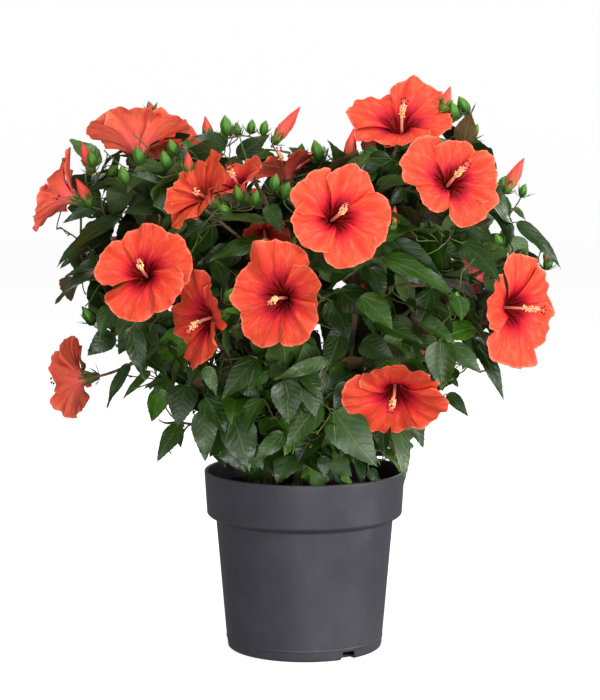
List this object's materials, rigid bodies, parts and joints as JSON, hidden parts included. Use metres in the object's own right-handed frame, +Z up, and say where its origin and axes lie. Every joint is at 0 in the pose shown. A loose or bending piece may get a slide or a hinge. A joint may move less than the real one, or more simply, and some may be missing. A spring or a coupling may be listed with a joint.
{
  "type": "potted flowering hibiscus shrub",
  "caption": "Bushy flowering hibiscus shrub with coral-red open blooms and glossy toothed leaves, standing in a round tapered nursery pot.",
  "frame": {"origin": "centre of the pot's flat underside, on the surface it stands on", "axes": "+Z up, -Y towards the front of the plant, +X to the viewer's right"},
  "size_m": [0.6238, 0.4945, 0.6818],
  "materials": {
    "pot_plastic": "satin",
    "potting_mix": "matte",
    "bark": "matte",
    "leaf": "satin",
    "petal": "matte",
    "stamen": "matte",
    "green_shoot": "satin"
  },
  "bodies": {
    "root": {"bough_back_centre": "bark", "bough_back_left": "bark", "bough_back_low_right": "bark", "bough_back_right": "bark", "bough_back_top": "bark", "bough_centre": "bark", "bough_centre_left": "bark", "bough_centre_upper": "bark", "bough_far_left": "bark", "bough_left_mid": "bark", "bough_left_outlier": "bark", "bough_lower_left": "bark", "bough_lower_right": "bark", "bough_right": "bark", "bough_right_inner": "bark", "bough_top_centre": "bark", "bough_top_left": "bark", "bough_top_right": "bark", "bough_upper_left": "bark", "foliage_back_centre": "leaf", "foliage_back_left": "leaf", "foliage_back_low_left": "leaf", "foliage_back_low_right": "leaf", "foliage_back_mid_right": "leaf", "foliage_back_right": "leaf", "foliage_back_top_centre": "leaf", "foliage_back_top_left": "leaf", "foliage_back_top_right": "leaf", "foliage_centre": "leaf", "foliage_centre_left": "leaf", "foliage_centre_upper": "leaf", "foliage_far_left": "leaf", "foliage_foot_right": "leaf", "foliage_left_mid": "leaf", "foliage_left_outer_low": "leaf", "foliage_left_outlier": "leaf", "foliage_lower_centre": "leaf", "foliage_lower_centre_left": "leaf", "foliage_lower_left": "leaf", "foliage_lower_left_hanging": "leaf", "foliage_lower_right": "leaf", "foliage_right_hanging": "leaf", "foliage_right_inner": "leaf", "foliage_right_lower": "leaf", "foliage_right_outer": "leaf", "foliage_top_left": "leaf", "foliage_top_right": "leaf", "foliage_upper_centre_left": "leaf", "foliage_upper_left_inner": "leaf", "foliage_upper_right": "leaf", "pot": "pot_plastic", "potting_mix": "potting_mix", "stem_back": "bark", "stem_centre_front": "bark", "stem_left_back": "bark", "stem_left_front": "bark", "stem_right_back": "bark", "stem_right_front": "bark"}
  },
  "joints": []
}
